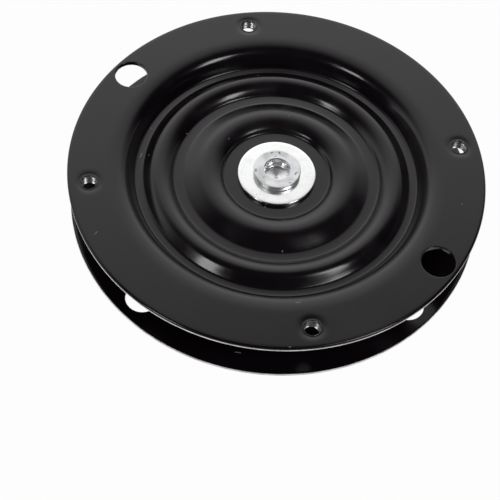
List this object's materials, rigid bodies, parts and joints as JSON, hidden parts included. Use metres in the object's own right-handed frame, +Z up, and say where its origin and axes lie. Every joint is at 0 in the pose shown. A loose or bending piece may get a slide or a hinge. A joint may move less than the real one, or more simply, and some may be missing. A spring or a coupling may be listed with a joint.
{
  "type": "lazy susan bearing",
  "caption": "Round swivel bearing: black dished steel plates on a ball race, held by a zinc rivet and wide washers, with threaded and access holes in the flanges.",
  "frame": {"origin": "centre of the flat face that the bottom plate rests on", "axes": "+Z up along the axis of turning; +X through a threaded hole of the top plate"},
  "size_m": [0.2, 0.2, 0.026],
  "materials": {
    "black_enamel": "semi-gloss black enamel with bare cut edges",
    "cage_nylon": "moulded dark nylon",
    "rivet_zinc": "dull zinc with turning marks",
    "bush_steel": "turned steel",
    "washer_zinc": "bright white zinc",
    "ball_steel": "polished bearing steel"
  },
  "bodies": {
    "base": {"bottom_plate": "black_enamel", "pivot_rivet": "rivet_zinc", "pivot_bush": "bush_steel", "top_washer": "washer_zinc", "bottom_washer": "washer_zinc"},
    "turntable": {"top_plate": "black_enamel"},
    "ball_ring": {"ball_cage": "cage_nylon", "ball_01": "ball_steel", "ball_02": "ball_steel", "ball_03": "ball_steel", "ball_04": "ball_steel", "ball_05": "ball_steel", "ball_06": "ball_steel", "ball_07": "ball_steel", "ball_08": "ball_steel", "ball_09": "ball_steel", "ball_10": "ball_steel", "ball_11": "ball_steel", "ball_12": "ball_steel", "ball_13": "ball_steel", "ball_14": "ball_steel"}
  },
  "joints": [
    {"name": "plate_turn", "type": "hinge", "parent": "base", "child": "turntable", "pos_m": [0, 0, 0.013], "axis": [0, 0, 1], "continuous": true},
    {"name": "cage_turn", "type": "hinge", "parent": "base", "child": "ball_ring", "pos_m": [0, 0, 0.013], "axis": [0, 0, 1], "continuous": true}
  ],
  "couplings": [
    {"joint": "cage_turn", "follows": "plate_turn", "ratio": 0.5}
  ]
}
